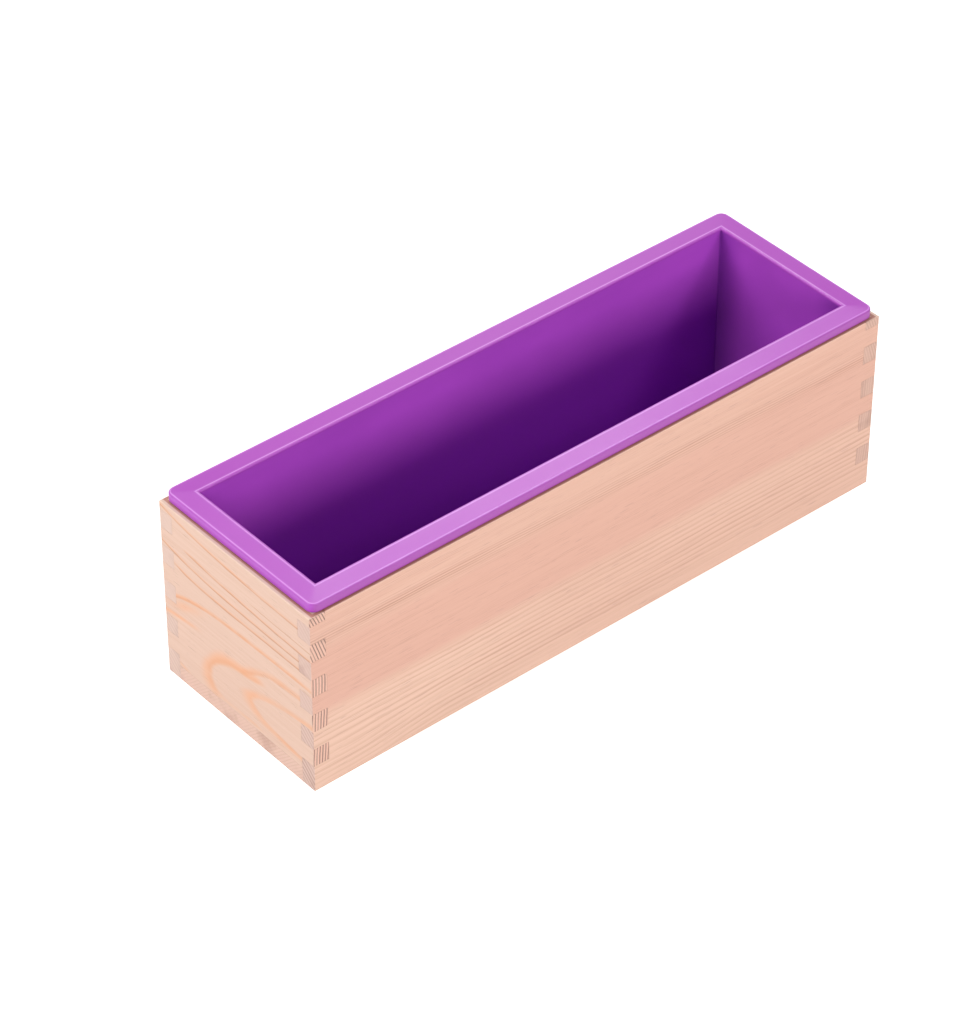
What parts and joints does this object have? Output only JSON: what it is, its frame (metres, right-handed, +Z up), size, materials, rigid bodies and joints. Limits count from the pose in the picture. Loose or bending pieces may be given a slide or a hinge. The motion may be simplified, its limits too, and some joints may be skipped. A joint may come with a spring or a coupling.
{
  "type": "soap loaf mould",
  "caption": "Long finger-jointed wooden box open at the top, holding a soft silicone liner with a thick flat rim that lifts straight out for casting loaf soap.",
  "frame": {"origin": "middle of the box's underside", "axes": "+X along the loaf, +Y from the front board to the back board, +Z up out of the mould"},
  "size_m": [0.28, 0.088, 0.0866],
  "materials": {
    "pine": "bare, planed and sanded",
    "silicone": "satin"
  },
  "bodies": {
    "box": {"front_board": "pine", "back_board": "pine", "left_end_board": "pine", "right_end_board": "pine", "bottom_board": "pine"},
    "liner": {"silicone_liner": "silicone"}
  },
  "joints": [
    {"name": "liner_lift", "type": "slide", "parent": "box", "child": "liner", "axis": [0, 0, 1], "range_m": [0, 0.09]}
  ]
}
